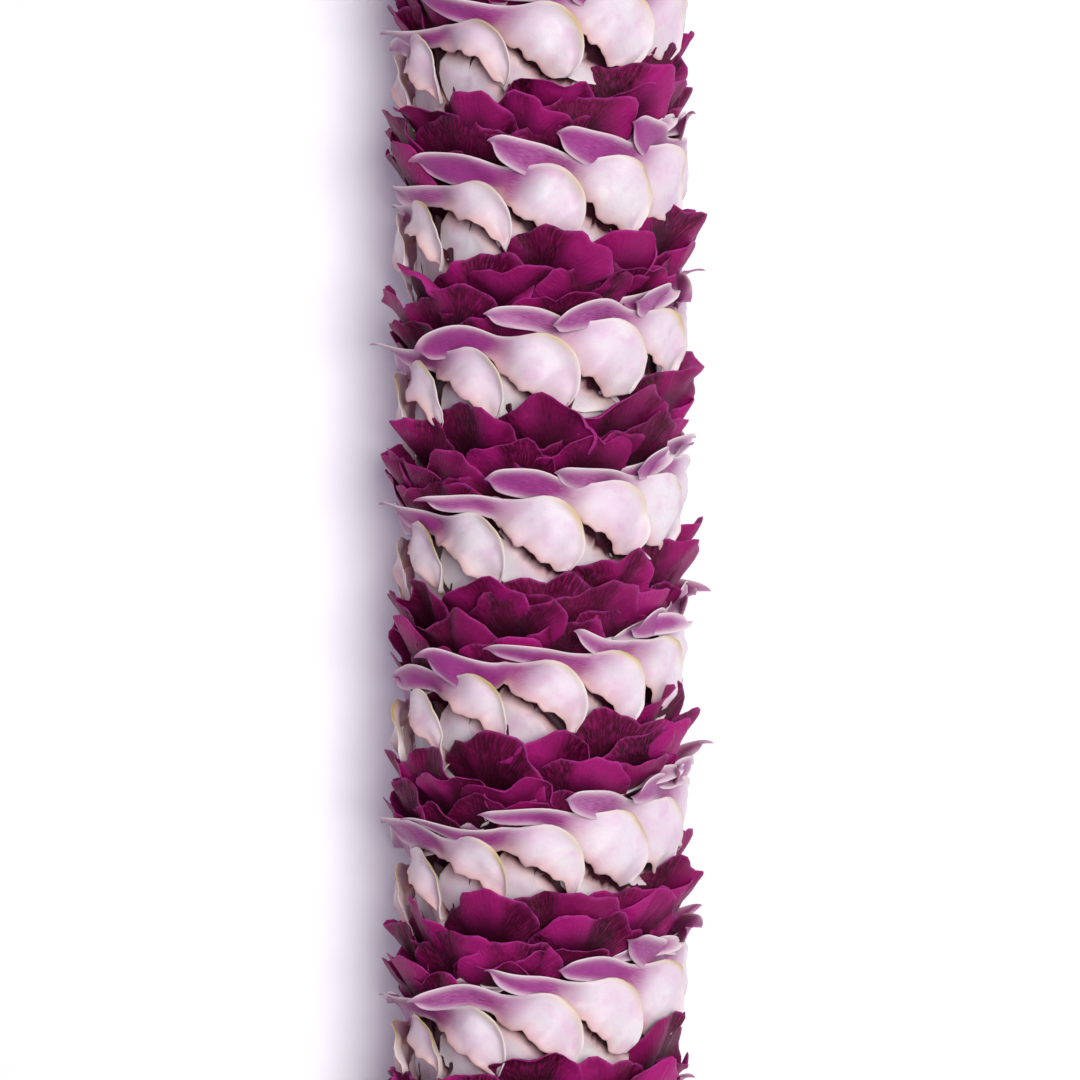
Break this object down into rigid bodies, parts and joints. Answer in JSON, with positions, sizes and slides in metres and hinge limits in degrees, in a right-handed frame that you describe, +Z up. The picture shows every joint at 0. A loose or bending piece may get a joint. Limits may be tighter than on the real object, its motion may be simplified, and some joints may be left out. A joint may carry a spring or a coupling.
{
  "type": "fresh flower lei",
  "caption": "Closed garland of fresh orchid blossoms sewn in a tight spiral round a string, with dark ruffled lips between bands of pale petals, lying flat as a long loop.",
  "frame": {"origin": "on the surface that the lei lies on, under the middle of the loop", "axes": "+Z up, +Y along the loop's two straight runs; seen from above, the blossoms face anticlockwise round the loop"},
  "size_m": [0.2096, 0.4312, 0.0572],
  "materials": {
    "petal": "satin petal, pinkish white with creamy rims and mauve tips",
    "lip": "velvety petal, dark maroon-magenta with lighter magenta rims",
    "string": "twisted cotton thread"
  },
  "bodies": {
    "root": {"petals_turn_01": "petal", "petals_turn_02": "petal", "petals_turn_03": "petal", "petals_turn_04": "petal", "petals_turn_05": "petal", "petals_turn_06": "petal", "petals_turn_07": "petal", "petals_turn_08": "petal", "petals_turn_09": "petal", "petals_turn_10": "petal", "petals_turn_11": "petal", "petals_turn_12": "petal", "petals_turn_13": "petal", "petals_turn_14": "petal", "petals_turn_15": "petal", "petals_turn_16": "petal", "petals_turn_17": "petal", "petals_turn_18": "petal", "petals_turn_19": "petal", "petals_turn_20": "petal", "petals_turn_21": "petal", "petals_turn_22": "petal", "petals_turn_23": "petal", "petals_turn_24": "petal", "petals_turn_25": "petal", "petals_turn_26": "petal", "petals_turn_27": "petal", "petals_turn_28": "petal", "lips_turn_01": "lip", "lips_turn_02": "lip", "lips_turn_03": "lip", "lips_turn_04": "lip", "lips_turn_05": "lip", "lips_turn_06": "lip", "lips_turn_07": "lip", "lips_turn_08": "lip", "lips_turn_09": "lip", "lips_turn_10": "lip", "lips_turn_11": "lip", "lips_turn_12": "lip", "lips_turn_13": "lip", "lips_turn_14": "lip", "lips_turn_15": "lip", "lips_turn_16": "lip", "lips_turn_17": "lip", "lips_turn_18": "lip", "lips_turn_19": "lip", "lips_turn_20": "lip", "lips_turn_21": "lip", "lips_turn_22": "lip", "lips_turn_23": "lip", "lips_turn_24": "lip", "lips_turn_25": "lip", "lips_turn_26": "lip", "lips_turn_27": "lip", "lips_turn_28": "lip", "string": "string"}
  },
  "joints": []
}
